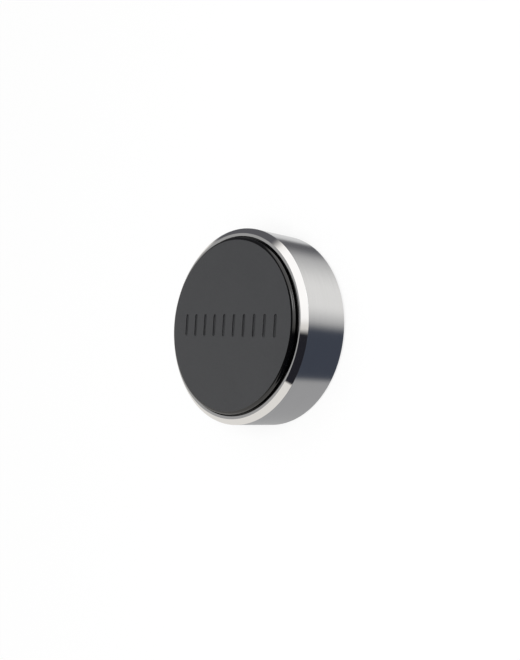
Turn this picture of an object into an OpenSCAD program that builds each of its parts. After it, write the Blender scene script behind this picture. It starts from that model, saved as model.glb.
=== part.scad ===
// Stick-on magnetic phone mount.
// A turned metal cup holds a steel yoke, a moulded carrier with seven disc magnets and a rubber pad.
// A foam adhesive disc in the back fixes the mount to a dashboard, a wall or a desk.
// Sizes are in millimetres. The origin is the centre of the adhesive's back face.
// +Z points out of the pad, and +X runs along its row of grip slots.
// The mount is laid out from the magnets outwards, so its diameter and height follow from the sizes below.

/* [Magnets] */
// Diameter of one disc magnet
magnet_d = 7; // [5:0.5:10]
// Thickness of one disc magnet
magnet_t = 4; // [2:0.5:6]
// Broken edge of a magnet
magnet_edge = 0.15; // [0.05:0.05:0.3]
// Gap all round a magnet in its pocket
magnet_gap = 0.05; // [0.02:0.01:0.1]
// Plastic between two neighbouring magnet pockets
magnet_web = 1.1; // [0.8:0.1:2]

/* [Carrier] */
// Plastic between the outer magnets and the carrier's side
carrier_wall = 0.95; // [0.6:0.05:1.5]
// Broken edge of the carrier
carrier_edge = 0.2; // [0.1:0.05:0.3]
// Diameter of the holes that keep the plastic even between the outer magnets
core_hole_d = 2; // [1.2:0.1:2.4]
// Plastic in front of the magnets
carrier_front = 0.5; // [0.3:0.1:1]
// Widening at the mouth of each magnet pocket
pocket_lead_in = 0.2; // [0.1:0.05:0.3]
// Diameter of the locating pins behind the carrier
pin_d = 1.2; // [1:0.1:1.3]
// Gap all round a locating pin in the yoke
pin_gap = 0.05; // [0.02:0.01:0.1]
// Gap between a locating pin's end and the back of the yoke
pin_end_gap = 0.3; // [0.1:0.1:0.6]

/* [Yoke] */
// Thickness of the steel yoke behind the magnets
yoke_t = 1.2; // [0.8:0.1:2]
// Broken edge of the yoke
yoke_edge = 0.2; // [0.1:0.05:0.3]
// Thickness of the bonding film behind the yoke
core_film_t = 0.15; // [0.1:0.05:0.3]
// Uncoated margin of the bonding film, in from the yoke's edge
core_film_margin = 0.6; // [0.3:0.1:1.5]

/* [Housing] */
// Gap all round the carrier and the yoke in the housing
core_gap = 0.1; // [0.05:0.05:0.2]
// Width of the ledge under the pad
ledge_w = 0.9; // [0.6:0.1:1.5]
// Width of the flat ring between the pad's pocket and the chamfer
land_w = 0.45; // [0.3:0.05:1]
// Width of the polished front chamfer, in from the side
chamfer_w = 0.85; // [0.4:0.05:1.2]
// Height of the polished front chamfer, down from the rim
chamfer_h = 0.75; // [0.4:0.05:1.2]
// Depth of the pad's pocket below the front rim
pad_pocket_depth = 0.7; // [0.55:0.05:1.2]
// Thickness of the back wall between the core and the adhesive
back_wall = 1.6; // [1:0.1:3]
// Width of the metal ring round the adhesive
back_ring_w = 1.7; // [1.2:0.1:3]
// Broken edge at the back
back_edge = 0.05; // [0.05:0.05:0.3]

/* [Pad] */
// Height of the pad's face above the front rim
pad_proud = 0.8; // [0.5:0.05:1.5]
// Width of the open groove round the pad
pad_groove_w = 0.25; // [0.15:0.05:0.8]
// Radius of the pad's front edge
pad_round = 0.45; // [0.15:0.05:0.5]
// Thickness of the flange that centres the pad in its pocket
pad_flange_t = 0.25; // [0.2:0.05:0.4]
// Gap all round the pad's flange
pad_flange_gap = 0.05; // [0.02:0.01:0.1]
// Thickness of the bonding film under the pad
pad_film_t = 0.1; // [0.05:0.05:0.2]
// Uncoated margin of the bonding film, in from the flange's edge
pad_film_margin = 0.4; // [0.2:0.1:0.8]

/* [Grip slots] */
// Length of one slot across the row
slot_len = 3.4; // [2:0.1:6]
// Width of one slot
slot_w = 0.55; // [0.3:0.05:0.8]
// Depth of the slots
slot_depth = 0.25; // [0.1:0.05:0.4]
// Distance between neighbouring slots
slot_pitch = 2.2; // [1.5:0.1:3]
// Distance from the outer slots to the edge of the pad's face
slot_margin = 3; // [2.5:0.1:5]

/* [Adhesive] */
// Thickness of the foam adhesive disc
adhesive_t = 0.8; // [0.6:0.05:1.2]
// How far the adhesive stands out of the housing's back
adhesive_proud = 0.45; // [0.3:0.05:0.5]
// Gap all round the adhesive in its recess
adhesive_gap = 0.1; // [0.05:0.05:0.3]

/* [Hidden] */
// Magnets stand in a hexagon round one in the middle, one pocket and one web apart.
ring_count = 6;

$fn = 128;

// Extra length of a cutting or joining shape beyond the face that it crosses.
over = 1;

magnet_pocket_r = magnet_d / 2 + magnet_gap;
ring_r = 2 * magnet_pocket_r + magnet_web;

// Pins stand midway between three neighbouring pockets, and holes outside each pair of outer pockets.
pin_count = 3;
pin_ring_r = ring_r / sqrt(3);
half_step = 180 / ring_count;

// Radii, from the magnets outwards.
core_r = ring_r + magnet_pocket_r + carrier_wall;
core_hole_ring_r = core_r - carrier_wall - core_hole_d / 2;
bore_r = core_r + core_gap;
pad_pocket_r = bore_r + ledge_w;
body_r = pad_pocket_r + land_w + chamfer_w;
back_recess_r = body_r - back_ring_w;
adhesive_r = back_recess_r - adhesive_gap;
pad_r = pad_pocket_r - pad_groove_w;
pad_face_r = pad_r - pad_round;
pad_flange_r = pad_pocket_r - pad_flange_gap;

// Heights, from the adhesive's back face to the pad's face.
back_z = adhesive_proud;
recess_z = adhesive_t;
bore_z = recess_z + back_wall;
yoke_z = bore_z + core_film_t;
carrier_z = yoke_z + yoke_t;
carrier_h = magnet_t + carrier_front;
ledge_z = carrier_z + carrier_h;
rim_z = ledge_z + pad_pocket_depth;
pad_z = ledge_z + pad_film_t;
face_z = rim_z + pad_proud;

// As many slots as fit between the margins of the pad's face.
slot_row = 2 * (pad_face_r - slot_margin);
slot_count = floor(slot_row / slot_pitch) + 1;

// A round disc standing on z = 0, with both edges broken.
module disc(r, h, edge) {
    rotate_extrude()
        polygon([[0, 0], [r - edge, 0], [r, edge], [r, h - edge], [r - edge, h], [0, h]]);
}

// Places a child at each of n points on a circle.
module round_about(n, r, first = 0) {
    for (i = [0 : n - 1])
        rotate(first + i * 360 / n)
            translate([r, 0, 0])
                children();
}

// The section of the solid housing, before it is bored out.
module housing_outline() {
    polygon([
        [0, back_z],
        [body_r - back_edge, back_z],
        [body_r, back_z + back_edge],
        [body_r, rim_z - chamfer_h],
        [body_r - chamfer_w, rim_z],
        [0, rim_z]
    ]);
}

// One cup turned from bar, with a pocket for the pad, a bore for the core and a recess for the adhesive.
module housing() {
    color("#9a9a9e")
        rotate_extrude()
            difference() {
                housing_outline();
                translate([0, ledge_z])
                    square([pad_pocket_r, pad_pocket_depth + over]);
                translate([0, bore_z])
                    square([bore_r, ledge_z - bore_z + over]);
                translate([0, back_z - over])
                    square([back_recess_r, recess_z - back_z + over]);
            }
}

// Foam disc bonded into the recess in the back.
module mounting_adhesive() {
    color("#6e7074")
        cylinder(r = adhesive_r, h = adhesive_t);
}

// Double-sided film that bonds the yoke to the bottom of the bore.
module core_film() {
    color("#d8d2c2")
        translate([0, 0, bore_z])
            cylinder(r = core_r - core_film_margin, h = core_film_t);
}

// Steel plate that closes the magnets' field at the back.
module yoke_plate() {
    color("#8d9095")
        difference() {
            translate([0, 0, yoke_z])
                disc(core_r, yoke_t, yoke_edge);
            round_about(pin_count, pin_ring_r, half_step)
                translate([0, 0, yoke_z - over])
                    cylinder(d = pin_d + 2 * pin_gap, h = yoke_t + 2 * over);
        }
}

// A blind pocket with a widened mouth, opening towards the back.
module magnet_pocket() {
    rotate_extrude()
        polygon([
            [0, -over],
            [magnet_pocket_r + pocket_lead_in, -over],
            [magnet_pocket_r + pocket_lead_in, 0],
            [magnet_pocket_r, pocket_lead_in],
            [magnet_pocket_r, magnet_t],
            [0, magnet_t]
        ]);
}

// Moulded plastic block that spaces the magnets and locates on the yoke.
module magnet_carrier() {
    color("#2b2c2e") {
        difference() {
            translate([0, 0, carrier_z])
                disc(core_r, carrier_h, carrier_edge);
            translate([0, 0, carrier_z]) {
                magnet_pocket();
                round_about(ring_count, ring_r)
                    magnet_pocket();
                round_about(ring_count, core_hole_ring_r, half_step)
                    translate([0, 0, -over])
                        cylinder(d = core_hole_d, h = magnet_t + over);
            }
        }
        round_about(pin_count, pin_ring_r, half_step)
            translate([0, 0, yoke_z + pin_end_gap])
                cylinder(d = pin_d, h = yoke_t - pin_end_gap + over);
    }
}

// One nickel-plated disc magnet, standing on the yoke at the origin.
module magnet() {
    color("#b9bcc0")
        translate([0, 0, carrier_z])
            disc(magnet_d / 2, magnet_t, magnet_edge);
}

// One of the magnets of the hexagon, counted from +X.
module ring_magnet(number) {
    rotate((number - 1) * 360 / ring_count)
        translate([ring_r, 0, 0])
            magnet();
}

// Double-sided film that bonds the pad to the ledge and the carrier.
module pad_film() {
    color("#d8d2c2")
        translate([0, 0, ledge_z])
            cylinder(r = pad_flange_r - pad_film_margin, h = pad_film_t);
}

// The pad's section: a centring flange below and a rounded front edge above.
module pad_outline() {
    translate([0, pad_z])
        square([pad_flange_r, pad_flange_t]);
    translate([0, pad_z])
        square([pad_r, face_z - pad_round - pad_z]);
    translate([0, pad_z])
        square([pad_face_r, face_z - pad_z]);
    intersection() {
        translate([pad_face_r, face_z - pad_round])
            circle(r = pad_round);
        translate([0, pad_z])
            square([pad_r + over, face_z]);
    }
}

// One moulded slot with round ends, cut down from the pad's face.
module grip_slot() {
    translate([0, 0, face_z - slot_depth])
        linear_extrude(slot_depth + over) {
            square([slot_w, slot_len - slot_w], center = true);
            for (side = [-1, 1])
                translate([0, side * (slot_len - slot_w) / 2])
                    circle(d = slot_w);
        }
}

// Black rubber pad that grips the phone's plate.
module face_pad() {
    color("#4a4b4d")
        difference() {
            rotate_extrude()
                pad_outline();
            for (i = [0 : slot_count - 1])
                translate([(i - (slot_count - 1) / 2) * slot_pitch, 0, 0])
                    grip_slot();
        }
}

housing();
mounting_adhesive();
core_film();
yoke_plate();
magnet_carrier();
magnet();  // magnet_centre
for (i = [1 : ring_count])
    ring_magnet(i);
pad_film();
face_pad();
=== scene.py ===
import math

import bmesh
import bpy
from mathutils import Matrix, Vector


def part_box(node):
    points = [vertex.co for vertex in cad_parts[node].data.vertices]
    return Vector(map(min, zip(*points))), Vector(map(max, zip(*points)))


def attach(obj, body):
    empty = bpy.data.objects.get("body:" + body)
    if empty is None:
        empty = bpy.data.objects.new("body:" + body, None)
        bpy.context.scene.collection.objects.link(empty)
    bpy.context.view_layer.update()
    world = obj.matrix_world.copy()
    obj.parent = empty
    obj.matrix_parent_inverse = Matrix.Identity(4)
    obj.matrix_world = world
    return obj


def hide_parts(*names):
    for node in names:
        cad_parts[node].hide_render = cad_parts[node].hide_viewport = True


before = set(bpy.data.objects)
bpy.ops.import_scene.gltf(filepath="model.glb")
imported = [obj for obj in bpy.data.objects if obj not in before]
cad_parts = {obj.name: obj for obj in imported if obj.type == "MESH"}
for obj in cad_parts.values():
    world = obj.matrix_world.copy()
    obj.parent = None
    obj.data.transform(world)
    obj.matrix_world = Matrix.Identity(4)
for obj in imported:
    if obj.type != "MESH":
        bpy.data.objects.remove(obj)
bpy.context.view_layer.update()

mm = 0.001  # the mount's sizes are written in millimetres, as on its drawing
around = 240  # points round every turned piece
slotEnd = 12  # steps round each end of a slot
arcStep = 0.05 * mm  # radius that adds one step to a rounding
onAxis = 1e-9  # nearer than this to the axis is on it
print("frame loaded:", len(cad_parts), "pieces")


# Shader wiring: a Wire is one output socket, and an expression on wires adds its Math nodes.

class Wire:
    def __init__(self, finish, socket):
        self.finish = finish
        self.socket = socket

    def __add__(self, other):
        return self.finish.calc("ADD", self, other)

    def __radd__(self, other):
        return self.finish.calc("ADD", other, self)

    def __sub__(self, other):
        return self.finish.calc("SUBTRACT", self, other)

    def __rsub__(self, other):
        return self.finish.calc("SUBTRACT", other, self)

    def __mul__(self, other):
        return self.finish.calc("MULTIPLY", self, other)

    def __rmul__(self, other):
        return self.finish.calc("MULTIPLY", other, self)

    def pick(self, name):  # another output of the same node
        return Wire(self.finish, findSocket(self.socket.node.outputs, name))

    def step(self, start, end):  # eases from 0 to 1 as the wire goes from start to end
        values = {"Value": self, "From Min": start, "From Max": end}
        return self.finish.node("ShaderNodeMapRange", {"interpolation_type": "SMOOTHSTEP"}, values)


def findSocket(sockets, name):
    if isinstance(name, int):
        return sockets[name]
    for socket in sockets:
        if socket.identifier == name:
            return socket
    return sockets[name]


class Finish:
    def __init__(self, owner):
        owner.use_nodes = True
        self.owner = owner
        self.tree = owner.node_tree
        self.tree.nodes.clear()

    def node(self, kind, settings=None, values=None):
        made = self.tree.nodes.new(kind)
        for name, value in (settings or {}).items():
            setattr(made, name, value)
        for name, value in (values or {}).items():
            self.plug(findSocket(made.inputs, name), value)
        shown = [socket for socket in made.outputs if socket.enabled]
        return Wire(self, shown[0]) if shown else None

    def plug(self, socket, value):
        if isinstance(value, Wire):
            self.tree.links.new(value.socket, socket)
        elif isinstance(value, (tuple, list)) and socket.type == "RGBA":
            socket.default_value = (*value, 1.0)
        else:
            socket.default_value = value

    def calc(self, operation, *terms):
        return self.node("ShaderNodeMath", {"operation": operation}, dict(enumerate(terms)))

    def place(self):  # the point on the piece, in millimetres
        return self.stretch(self.node("ShaderNodeTexCoord").pick("Object"), (1 / mm, 1 / mm, 1 / mm))

    def stretch(self, vector, factors):
        return self.node("ShaderNodeVectorMath", {"operation": "MULTIPLY"}, {0: vector, 1: factors})

    def along(self, vector, way):  # the vector's share in one direction
        made = self.node("ShaderNodeVectorMath", {"operation": "DOT_PRODUCT"}, {0: vector, 1: way})
        return made.pick("Value")

    def parts(self, vector):
        split = self.node("ShaderNodeSeparateXYZ", None, {"Vector": vector})
        return split.pick("X"), split.pick("Y"), split.pick("Z")

    def fromAxis(self, vector):  # distance from the turning axis
        flat = self.stretch(vector, (1, 1, 0))
        return self.node("ShaderNodeVectorMath", {"operation": "LENGTH"}, {0: flat}).pick("Value")

    def noise(self, vector, size, detail=2.0, rough=0.5):  # size is that of one blotch
        values = {"Vector": vector, "Scale": 1 / size, "Detail": detail, "Roughness": rough}
        return self.node("ShaderNodeTexNoise", None, values)

    def cells(self, vector, size):
        return self.node("ShaderNodeTexVoronoi", {"feature": "F1"}, {"Vector": vector, "Scale": 1 / size})

    def blend(self, factor, first, second):
        values = {"Factor_Float": factor, "A_Color": first, "B_Color": second}
        return self.node("ShaderNodeMix", {"data_type": "RGBA"}, values).pick("Result_Color")

    def bump(self, height, depth):  # height runs 0 to 1 over depth millimetres
        values = {"Height": height, "Distance": depth * mm, "Strength": 1.0}
        return self.node("ShaderNodeBump", None, values)

    def shade(self, values):
        surface = self.node("ShaderNodeBsdfPrincipled", None, values)
        self.node("ShaderNodeOutputMaterial", None, {"Surface": surface})
        return self.owner


def newFinish(name):
    return Finish(bpy.data.materials.new(name))


def tinted(colour, factor):
    return tuple(part * factor for part in colour)


# Mesh making: a path of corners in (distance, height) is rounded, then carried round an outline.

def roundedPath(corners):
    points = [Vector(corner[:2]) for corner in corners]
    heading = [(b - a).normalized() for a, b in zip(points, points[1:])]
    path = [(points[0], Vector((heading[0].y, -heading[0].x)))]
    for point, corner, a, b in zip(points[1:], corners[1:], heading, heading[1:]):
        rounding = corner[2]
        turn = math.atan2(a.x * b.y - a.y * b.x, a.dot(b))  # to the left round an outer corner
        side = math.copysign(1, turn)
        facing = Vector((a.y, -a.x))
        centre = point - a * rounding * math.tan(abs(turn) / 2) - facing * rounding * side
        steps = 3 + round(rounding / arcStep)  # a broad rounding gets more points
        for i in range(steps + 1):
            out = facing.copy()
            out.rotate(Matrix.Rotation(turn * i / steps, 2))
            path.append((centre + out * rounding * side, out))
    path.append((points[-1], Vector((heading[-1].y, -heading[-1].x))))
    return path


def circleOutline():
    turns = [2 * math.pi * i / around for i in range(around)]
    return [(Vector((0, 0)), Vector((math.cos(t), math.sin(t)))) for t in turns]


def slotOutline(x, reach):  # two half circles about (x, reach) and (x, -reach)
    outline = []
    for end, first in ((reach, 0.0), (-reach, math.pi)):
        for i in range(slotEnd + 1):
            t = first + math.pi * i / slotEnd
            outline.append((Vector((x, end)), Vector((math.cos(t), math.sin(t)))))
    return outline


class Surface:
    def __init__(self, name):
        self.name = name
        self.mesh = bmesh.new()
        self.normals = []

    def point(self, place, normal):
        self.normals.append(normal)
        return self.mesh.verts.new(place)

    def loop(self, outline, distance, height, out):
        made = []
        for base, away in outline:
            flat = base + away * distance
            normal = Vector((away.x * out.x, away.y * out.x, out.y))
            made.append(self.point((flat.x, flat.y, height), normal))
        return made

    def carry(self, outline, path):  # gives back its first and last loops
        loops = []
        for place, out in path:
            if place.x < onAxis:  # where a loop is a single point
                loops.append([self.point((0, 0, place.y), Vector((0, 0, out.y)))])
            else:
                loops.append(self.loop(outline, place.x, place.y, out))
        for before, after in zip(loops, loops[1:]):
            count = max(len(before), len(after))
            for i in range(count):
                j = (i + 1) % count
                ring = [(before, i), (before, j), (after, j), (after, i)]
                corners = [loop[k % len(loop)] for loop, k in ring]
                self.mesh.faces.new(list(dict.fromkeys(corners)))
        return loops[0], loops[-1]

    def cap(self, loop):
        self.mesh.faces.new(loop)

    def fillFace(self, loops):  # a flat face with holes, looking up
        edges = [self.mesh.edges.get((a, b)) for loop in loops for a, b in zip(loop, loop[1:] + loop[:1])]
        made = bmesh.ops.triangle_fill(self.mesh, edges=edges, use_beauty=True, normal=(0, 0, 1))
        for face in made["geom"]:
            if isinstance(face, bmesh.types.BMFace):
                face.normal_update()
                if face.normal.z < 0:
                    face.normal_flip()

    def build(self, node, material):
        made = bpy.data.meshes.new(self.name)
        self.mesh.to_mesh(made)
        self.mesh.free()
        made.shade_smooth()
        made.normals_split_custom_set_from_vertices(self.normals)
        made.materials.append(material)
        piece = bpy.data.objects.new(self.name, made)
        bpy.context.scene.collection.objects.link(piece)
        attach(piece, "root")
        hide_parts(node)
        print(self.name, "made:", len(made.polygons), "faces")


def lowCorner(node):
    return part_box(node)[0]


def highCorner(node):
    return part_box(node)[1]


# Housing: turned from light metal, satin on the side, polished on the chamfer and the rim.

housing = {
    "chamferWide": 0.85 * mm,
    "chamferHigh": 0.75 * mm,
    "landWide": 0.45 * mm,
    "ledgeWide": 0.9 * mm,
    "recessInset": 1.7 * mm,  # from the side to the adhesive's recess
    "backEdge": 0.05 * mm,
    "backRound": 0.015 * mm,  # rounding left on the back edge
    "crisp": 0.03 * mm,  # rounding left on the polished edges
    "lip": 0.035 * mm,  # rounding of the pocket's rim
    "soft": 0.06 * mm,  # rounding of the inner corners
    "satinColour": (0.66, 0.66, 0.67),
    "polishColour": (0.92, 0.915, 0.91),
    "satinRough": 0.13,
    "polishRough": 0.045,
    "brushLong": 6.0,  # millimetres, as are all sizes of the surfaces' detail
    "brushWide": 0.11,
    "grainSize": 0.09,
    "grainDepth": 0.0018,
    "cloudSize": 5.0,
    "smudgeSize": 2.2,
    "turningPitch": 0.033,
    "turningShare": 0.05,  # depth of the turning lines as a share of the grain's
    "edgeBlend": 0.02,  # half the width of the change from satin to polish
    "brushTone": 0.94,  # how dark a brush line and a cloud get
    "cloudTone": 0.98,
    "brushRough": 0.05,  # how much each of them changes the roughness
    "grainRough": 0.03,
    "cloudRough": 0.02,
    "smudgeRough": 0.02,
}


def housingFinish(h):
    f = newFinish("turnedMetal")
    place = f.place()
    radius = f.fromAxis(place)
    shoulder = (highCorner("housing").z - h["chamferHigh"]) / mm
    height = f.parts(place)[2]
    polished = height.step(shoulder - h["edgeBlend"], shoulder + h["edgeBlend"])

    lines = f.stretch(place, (1 / h["brushLong"], 1 / h["brushLong"], 1 / h["brushWide"]))
    brush = f.noise(lines, 1.0, detail=3.0, rough=0.6)  # fine lines round the side
    grain = f.noise(place, h["grainSize"], detail=3.0, rough=0.6)
    cloud = f.noise(place, h["cloudSize"], detail=2.0, rough=0.4)  # slow change in the anodised film
    smudge = f.noise(place, h["smudgeSize"], detail=4.0, rough=0.65)
    turning = {"W": radius, "Scale": 1 / h["turningPitch"], "Detail": 2.0}
    rings = f.node("ShaderNodeTexNoise", {"noise_dimensions": "1D"}, turning)

    satin = f.blend(brush.step(0.3, 0.7), h["satinColour"], tinted(h["satinColour"], h["brushTone"]))
    satin = f.blend(cloud.step(0.35, 0.65), satin, tinted(h["satinColour"], h["cloudTone"]))
    uneven = h["brushRough"] * (brush - 0.5) + h["grainRough"] * (grain - 0.5)
    satinRough = h["satinRough"] + uneven + h["cloudRough"] * (cloud - 0.5)
    polishRough = h["polishRough"] + h["smudgeRough"] * smudge.step(0.5, 0.75)
    relief = (grain * 0.6 + brush * 0.4) * (1 - polished) + rings * polished * h["turningShare"]
    return f.shade({
        "Base Color": f.blend(polished, satin, h["polishColour"]),
        "Metallic": 1.0,
        "Roughness": satinRough + polished * (polishRough - satinRough),
        "Normal": f.bump(relief, h["grainDepth"]),
    })


def makeHousing(h):
    back, rim = lowCorner("housing").z, highCorner("housing").z
    side = highCorner("housing").x
    recess = highCorner("mounting_adhesive").z
    bore = lowCorner("core_film").z
    ledge = lowCorner("pad_film").z
    landOut = side - h["chamferWide"]
    pocket = landOut - h["landWide"]
    path = roundedPath([
        (0, recess),
        (side - h["recessInset"], recess, h["soft"]),
        (side - h["recessInset"], back, h["soft"]),
        (side - h["backEdge"], back, h["backRound"]),
        (side, back + h["backEdge"], h["backRound"]),
        (side, rim - h["chamferHigh"], h["crisp"]),
        (landOut, rim, h["crisp"]),
        (pocket, rim, h["lip"]),
        (pocket, ledge, h["soft"]),
        (pocket - h["ledgeWide"], ledge, h["soft"]),
        (pocket - h["ledgeWide"], bore, h["soft"]),
        (0, bore),
    ])
    shell = Surface("TurnedHousing")
    shell.carry(circleOutline(), path)
    shell.build("housing", housingFinish(h))


makeHousing(housing)


# Grip pad: moulded black rubber, matte on the face and glossy round its edge.

pad = {
    "grooveWide": 0.25 * mm,
    "edgeRound": 0.45 * mm,
    "flangeThick": 0.25 * mm,
    "flangeGap": 0.05 * mm,
    "flangeRound": 0.04 * mm,
    "slots": 10,
    "slotPitch": 2.2 * mm,
    "slotLong": 3.4 * mm,
    "slotWide": 0.55 * mm,
    "slotDeep": 0.25 * mm,
    "slotEdge": 0.04 * mm,
    "slotFoot": 0.08 * mm,
    "faceColour": (0.0418, 0.043, 0.0462),
    "edgeColour": (0.001, 0.001, 0.0012),
    "slotShadeColour": (0.01, 0.0105, 0.011),  # painted shade in the slots, darker on their walls than on their floor
    "faceRough": 0.5,
    "edgeRough": 0.1,
    "gloss": 1.7,  # index of refraction
    "pebbleSize": 0.14,
    "pebbleDepth": 0.018,
    "cloudSize": 6.0,
    "edgeBlend": (-0.02, 0.06),  # where the face turns glossy, from the start of its rounding
    "pebbleTone": 1.12,
    "cloudTone": 0.94,
    "pebbleRough": 0.1,
    "cloudRough": 0.05,
    "glossyPebble": 0.06,  # what is left of the pebble on the glossy edge
    "glossyRough": 0.03,  # and how much it changes the roughness there
    "slotMouth": 0.02,  # depth at which the painted shade in a slot starts
    "slotFloorShade": 0.3,  # how much of the painted shade the slots' floor takes
    "slotWallShade": 0.6,  # how much more painted shade their walls take on top of that
    "wallFacing": (0.2, 0.9),  # upward part of the normal on a wall and on the flat, which sets where the walls' painted shade fades
}


def padFinish(p, faceRadius):
    f = newFinish("mouldedRubber")
    place = f.place()
    start, end = (faceRadius / mm + offset for offset in p["edgeBlend"])
    edge = f.fromAxis(place).step(start, end)

    pebble = f.noise(place, p["pebbleSize"], detail=3.0, rough=0.55)  # fine texture of the mould
    cloud = f.noise(place, p["cloudSize"], detail=3.0, rough=0.5)
    face = f.blend(cloud.step(0.3, 0.7), p["faceColour"], tinted(p["faceColour"], p["cloudTone"]))
    face = f.blend(pebble.step(0.4, 0.7), face, tinted(p["faceColour"], p["pebbleTone"]))
    # Painted shade: the slots get darker below the face and on their steep walls, where shade falls.
    top = highCorner("face_pad").z / mm
    sunkShade = 1 - f.parts(place)[2].step(top - p["slotDeep"] / mm, top - p["slotMouth"])
    facing = f.node("ShaderNodeNewGeometry").pick("Normal")
    wallShade = 1 - f.parts(facing)[2].step(*p["wallFacing"])
    face = f.blend(p["slotFloorShade"] * sunkShade + p["slotWallShade"] * wallShade, face, p["slotShadeColour"])
    faceRough = p["faceRough"] + p["pebbleRough"] * (pebble - 0.5) + p["cloudRough"] * (cloud - 0.5)
    edgeRough = p["edgeRough"] + p["glossyRough"] * (pebble - 0.5)
    return f.shade({
        "Base Color": f.blend(edge, face, p["edgeColour"]),
        "Roughness": faceRough + edge * (edgeRough - faceRough),
        "IOR": p["gloss"],
        "Normal": f.bump(pebble * (1 - (1 - p["glossyPebble"]) * edge), p["pebbleDepth"]),
    })


def makePad(p):
    foot, face = lowCorner("face_pad").z, highCorner("face_pad").z
    flange = highCorner("face_pad").x
    wall = flange + p["flangeGap"] - p["grooveWide"]
    body = Surface("GripPad")
    section = roundedPath([
        (0, foot),
        (flange, foot, p["flangeRound"]),
        (flange, foot + p["flangeThick"], p["flangeRound"]),
        (wall, foot + p["flangeThick"], p["flangeRound"]),
        (wall, face, p["edgeRound"]),
        (wall - p["edgeRound"], face),
    ])
    faceLoop = body.carry(circleOutline(), section[:-1])[1]
    half = p["slotWide"] / 2
    floorZ = face - p["slotDeep"]
    loops = [faceLoop]
    for i in range(p["slots"]):
        x = (i - (p["slots"] - 1) / 2) * p["slotPitch"]
        mouth, end = body.carry(slotOutline(x, p["slotLong"] / 2 - half), roundedPath([
            (half + 2 * p["slotEdge"], face),
            (half, face, p["slotEdge"]),
            (half, floorZ, p["slotFoot"]),
            (half / 2, floorZ),
        ])[1:-1])
        body.cap(end)
        loops.append(mouth)
    body.fillFace(loops)
    body.build("face_pad", padFinish(p, wall - p["edgeRound"]))


makePad(pad)


# Mounting adhesive: a punched disc of closed-cell foam, with a slightly rounded edge.

adhesive = {
    "edgeRound": 0.12 * mm,
    "foamColour": (0.13, 0.135, 0.145),
    "paleColour": (0.2, 0.205, 0.215),
    "cellSize": 0.17,
    "cellDepth": 0.024,
    "blotchSize": 0.4,
    "rough": 0.6,
    "roughSpread": 0.2,
}


def adhesiveFinish(a):
    f = newFinish("adhesiveFoam")
    place = f.place()
    cells = f.cells(place, a["cellSize"])
    fine = f.noise(place, a["blotchSize"], detail=4.0, rough=0.6)
    return f.shade({
        "Base Color": f.blend(fine.step(0.35, 0.7), a["foamColour"], a["paleColour"]),
        "Roughness": a["rough"] + a["roughSpread"] * (fine - 0.5),
        "Normal": f.bump(cells * 0.7 + fine * 0.3, a["cellDepth"]),
    })


def makeAdhesive(a):
    bottom, top = lowCorner("mounting_adhesive").z, highCorner("mounting_adhesive").z
    edge = highCorner("mounting_adhesive").x
    disc = Surface("AdhesiveDisc")
    disc.carry(circleOutline(), roundedPath([
        (0, bottom),
        (edge, bottom, a["edgeRound"]),
        (edge, top, a["edgeRound"]),
        (0, top),
    ]))
    disc.build("mounting_adhesive", adhesiveFinish(a))


makeAdhesive(adhesive)


# The core inside keeps its own shapes, and each piece gets its finish.

core = {
    "nickel": (0.72, 0.71, 0.68),
    "zinc": (0.5, 0.51, 0.54),
    "zincDark": (0.36, 0.37, 0.4),
    "abs": (0.028, 0.028, 0.03),
    "film": (0.68, 0.63, 0.5),
    "filmPale": (0.78, 0.74, 0.62),
    "hazeSize": 1.5,  # nickel
    "gritSize": 0.05,
    "gritDepth": 0.001,
    "nickelHazed": 0.88,  # how dark the haze gets
    "nickelRough": 0.16,
    "hazeRough": 0.12,
    "spangleSize": 0.7,  # zinc
    "rollStretch": (0.6, 14.0, 14.0),
    "rollDepth": 0.004,
    "zincRough": 0.3,
    "spangleRough": 0.15,
    "sparkSize": 0.08,  # moulded plastic
    "sparkDepth": 0.01,
    "flowSize": 4.0,
    "flowTone": 1.4,
    "absRough": 0.45,
    "sparkRough": 0.15,
    "rippleSize": 1.8,  # bonding film
    "rippleDepth": 0.01,
    "fibreSize": 0.12,
    "filmRough": 0.38,
    "fibreRough": 0.2,
}


def nickelFinish(c):
    f = newFinish("nickelPlating")
    place = f.place()
    haze = f.noise(place, c["hazeSize"], detail=4.0, rough=0.6)
    grit = f.noise(place, c["gritSize"])
    return f.shade({
        "Base Color": f.blend(haze.step(0.4, 0.75), c["nickel"], tinted(c["nickel"], c["nickelHazed"])),
        "Metallic": 1.0,
        "Roughness": c["nickelRough"] + c["hazeRough"] * haze.step(0.4, 0.8),
        "Normal": f.bump(grit, c["gritDepth"]),
    })


def zincFinish(c):
    f = newFinish("zincPlatedSteel")
    place = f.place()
    spangle = f.parts(f.cells(place, c["spangleSize"]).pick("Color"))[0]
    rolled = f.noise(f.stretch(place, c["rollStretch"]), 1.0, detail=3.0, rough=0.6)
    return f.shade({
        "Base Color": f.blend(spangle * 0.5 + rolled * 0.5, c["zinc"], c["zincDark"]),
        "Metallic": 1.0,
        "Roughness": c["zincRough"] + c["spangleRough"] * spangle,
        "Normal": f.bump(rolled, c["rollDepth"]),
    })


def absFinish(c):
    f = newFinish("mouldedAbs")
    place = f.place()
    spark = f.noise(place, c["sparkSize"], detail=4.0, rough=0.7)
    flow = f.noise(place, c["flowSize"])
    return f.shade({
        "Base Color": f.blend(flow.step(0.35, 0.7), c["abs"], tinted(c["abs"], c["flowTone"])),
        "Roughness": c["absRough"] + c["sparkRough"] * (spark - 0.5),
        "Normal": f.bump(spark, c["sparkDepth"]),
    })


def filmFinish(c):
    f = newFinish("bondingFilm")
    place = f.place()
    ripple = f.noise(place, c["rippleSize"], detail=3.0, rough=0.55)
    fibre = f.noise(place, c["fibreSize"], detail=3.0, rough=0.6)
    return f.shade({
        "Base Color": f.blend(ripple.step(0.3, 0.7), c["film"], c["filmPale"]),
        "Roughness": c["filmRough"] + c["fibreRough"] * (fibre - 0.5),
        "Normal": f.bump(ripple * 0.6 + fibre * 0.4, c["rippleDepth"]),
    })


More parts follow.
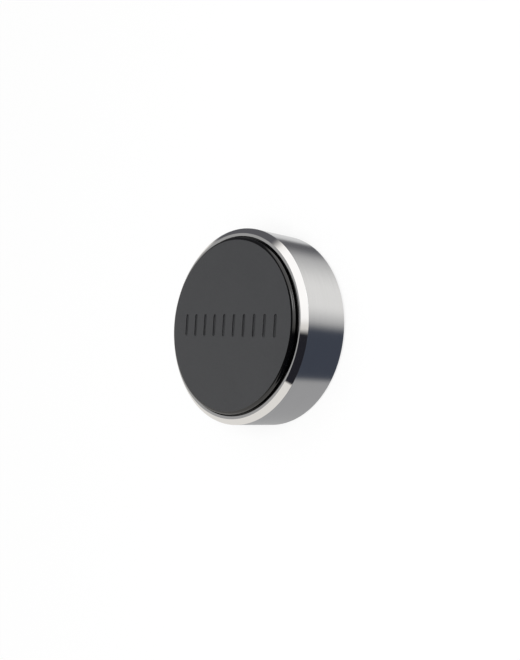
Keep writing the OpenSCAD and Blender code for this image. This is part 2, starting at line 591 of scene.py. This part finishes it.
def dress(finish, *names):
    for name in names:
        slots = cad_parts[name].material_slots
        for slot in slots:
            slot.material = finish
        print(name, "dressed in", finish.name, "on", len(slots), "slot")


magnets = [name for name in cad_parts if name.startswith("magnet_") and name != "magnet_carrier"]
dress(nickelFinish(core), *sorted(magnets))
dress(zincFinish(core), "yoke_plate")
dress(absFinish(core), "magnet_carrier")
dress(filmFinish(core), "core_film", "pad_film")


# Camera: at the photograph's angle, with the row of slots level in the picture.

view = {
    "imageHigh": 660,
    "tilt": math.radians(45.25),  # from the mount's axis
    "swing": math.radians(-3.8),  # round the axis, from +X
    "roll": math.radians(3.6),
    "away": 133.62 * mm,  # from the centre of the metal's back face
    "focalPixels": 840.3,
    "aside": 11.9,  # pixels that the mount stands right of the picture's middle
    "sensor": 36.0,
}


def makeCamera(v):
    toward = Vector((
        math.sin(v["tilt"]) * math.cos(v["swing"]),
        math.sin(v["tilt"]) * math.sin(v["swing"]),
        math.cos(v["tilt"]),
    ))
    right = Vector((0, 1, 0)).cross(toward).normalized()
    up = toward.cross(right)
    turned = Matrix((right, up, toward)).transposed().to_4x4() @ Matrix.Rotation(v["roll"], 4, "Z")
    turned.translation = Vector((0, 0, lowCorner("housing").z)) + toward * v["away"]
    lens = bpy.data.cameras.new("photoCamera")
    lens.sensor_width = v["sensor"]
    lens.lens = v["focalPixels"] * v["sensor"] / v["imageHigh"]
    lens.shift_x = -v["aside"] / v["imageHigh"]
    lens.clip_start = 1 * mm
    camera = bpy.data.objects.new("photoCamera", lens)
    camera.matrix_world = turned
    bpy.context.scene.collection.objects.link(camera)
    bpy.context.scene.camera = camera
    print("camera at", [round(c / mm, 1) for c in turned.translation], "mm")


makeCamera(view)


# Room: white to the eye. In the metal and the rubber it shows walls, a dark roof and a few large cards.

room = {
    "light": 0.55,  # how much the whole room lights the mount
    "groundColour": (0.45, 0.45, 0.45),
    "fade": 0.1,  # softness of a card's foot, in height from -1 straight down to 1 straight up
    "glintWay": Vector((0.71, 0.48, 0.51)).normalized(),  # toward a small bright lamp
    "glintSpread": (0.975, 0.99),
    "glintColour": (3.8, 3.8, 3.8),
    # Each card hides those before it. From, to and the softness of its ends are degrees round the
    # mount, counted from +X, and foot is the height at which it starts, as for fade.
    "cards": {
        "lowWhite": {"from": 18, "to": 84, "soft": (32, 64), "foot": -1.2, "colour": (1.04, 1.03, 1.0)},
        "lowBack": {"from": 130, "to": 188, "soft": (10, 14), "foot": -1.2, "colour": (0.75, 0.75, 0.75)},
        "lowShade": {"from": 108, "to": 133, "soft": (26, 14), "foot": -1.2, "colour": (0.15, 0.15, 0.16)},
        "lowBlue": {"from": -60, "to": 6, "soft": (9, 14), "foot": -1.2, "colour": (0.065, 0.075, 0.1)},
        "walls": {"from": -200, "to": 200, "soft": (1, 1), "foot": -0.56, "colour": (0.75, 0.73, 0.7)},
        "white": {"from": 10, "to": 97, "soft": (14, 20), "foot": -0.56, "colour": (1.05, 1.04, 1.03)},
        "shade": {"from": 101, "to": 157, "soft": (12, 12), "foot": -0.56, "colour": (0.1, 0.1, 0.11)},
        "black": {"from": -65, "to": -1.5, "soft": (3, 10), "foot": -0.56, "colour": (0.015, 0.015, 0.02)},
        "highBack": {"from": 157, "to": 194, "soft": (12, 12), "foot": 0.25, "colour": (0.33, 0.33, 0.33)},
        "roof": {"from": -200, "to": 200, "soft": (1, 1), "foot": 0.83, "colour": (0.02, 0.02, 0.02)},
    },
}


def makeRoom(r):
    world = bpy.data.worlds.new("studioRoom")
    bpy.context.scene.world = world
    f = Finish(world)
    toward = f.node("ShaderNodeTexCoord").pick("Generated")
    x, y, z = f.parts(toward)
    shown = r["groundColour"]
    for card in r["cards"].values():
        middle = math.radians((card["from"] + card["to"]) / 2)
        reach = (card["to"] - card["from"]) / 2
        ahead = x * math.cos(middle) + y * math.sin(middle)
        beside = y * math.cos(middle) - x * math.sin(middle)
        turn = f.calc("ARCTAN2", beside, ahead) * (180 / math.pi)  # degrees from the card's middle
        first, last = (softness / 2 for softness in card["soft"])
        width = turn.step(-reach - first, -reach + first) * (1 - turn.step(reach - last, reach + last))
        rise = z.step(card["foot"] - r["fade"], card["foot"] + r["fade"])
        shown = f.blend(width * rise, shown, card["colour"])
    glint = f.along(toward, r["glintWay"]).step(*r["glintSpread"])
    shown = f.blend(glint, shown, r["glintColour"])

    path = f.node("ShaderNodeLightPath")
    white = f.node("ShaderNodeBackground", None, {"Color": (1, 1, 1), "Strength": 1.0})
    mirrored = f.node("ShaderNodeBackground", None, {"Color": shown, "Strength": 1.0})
    filling = f.node("ShaderNodeBackground", None, {"Color": (1, 1, 1), "Strength": r["light"]})
    lit = f.node("ShaderNodeMixShader", None, {0: path.pick("Is Glossy Ray"), 1: filling, 2: mirrored})
    whole = f.node("ShaderNodeMixShader", None, {0: path.pick("Is Camera Ray"), 1: lit, 2: white})
    f.node("ShaderNodeOutputWorld", None, {"Surface": whole})
    print("room made with the cards", ", ".join(r["cards"]))


makeRoom(room)


# Floor: a pale sheet just under the adhesive, which fades into the white of the room.

floor = {
    "size": 1.5,
    "below": 0.02 * mm,
    "colour": (0.96, 0.96, 0.96),
    "lift": 0.75,  # how much of its white the eye sees unshaded near the mount
    "fadeStart": 60,  # millimetres from the mount
    "fadeEnd": 250,
}


def makeFloor(sheet):
    f = newFinish("paleFloor")
    fade = f.fromAxis(f.place()).step(sheet["fadeStart"], sheet["fadeEnd"])
    seen = f.node("ShaderNodeLightPath").pick("Is Camera Ray")
    matte = f.node("ShaderNodeBsdfDiffuse", None, {"Color": sheet["colour"]})
    white = f.node("ShaderNodeEmission", None, {"Color": (1, 1, 1), "Strength": 1.0})
    share = seen * (sheet["lift"] + (1 - sheet["lift"]) * fade)
    mixed = f.node("ShaderNodeMixShader", None, {0: share, 1: matte, 2: white})
    f.node("ShaderNodeOutputMaterial", None, {"Surface": mixed})

    half, height = sheet["size"] / 2, -sheet["below"]
    corners = [(-half, -half, height), (half, -half, height), (half, half, height), (-half, half, height)]
    plane = bpy.data.meshes.new("studioFloor")
    plane.from_pydata(corners, [], [(0, 1, 2, 3)])
    plane.materials.append(f.owner)
    made = bpy.data.objects.new("studioFloor", plane)
    bpy.context.scene.collection.objects.link(made)
    made.visible_glossy = False  # the metal shows the room's cards
    print("floor made")


makeFloor(floor)


# Lamp: one broad soft disc above the mount.

lamp = {
    "place": Vector((0.3, -0.03, 0.6)),
    "size": 0.5,
    "power": 3.0,
}


def makeLamp(disc):
    light = bpy.data.lights.new("softLamp", "AREA")
    light.shape = "DISK"
    light.size = disc["size"]
    light.energy = disc["power"]
    holder = bpy.data.objects.new("softLamp", light)
    holder.location = disc["place"]
    holder.rotation_euler = disc["place"].to_track_quat("Z", "Y").to_euler()
    holder.visible_glossy = False
    bpy.context.scene.collection.objects.link(holder)
    print("lamp made")


makeLamp(lamp)
bpy.context.scene.view_settings.view_transform = "Standard"
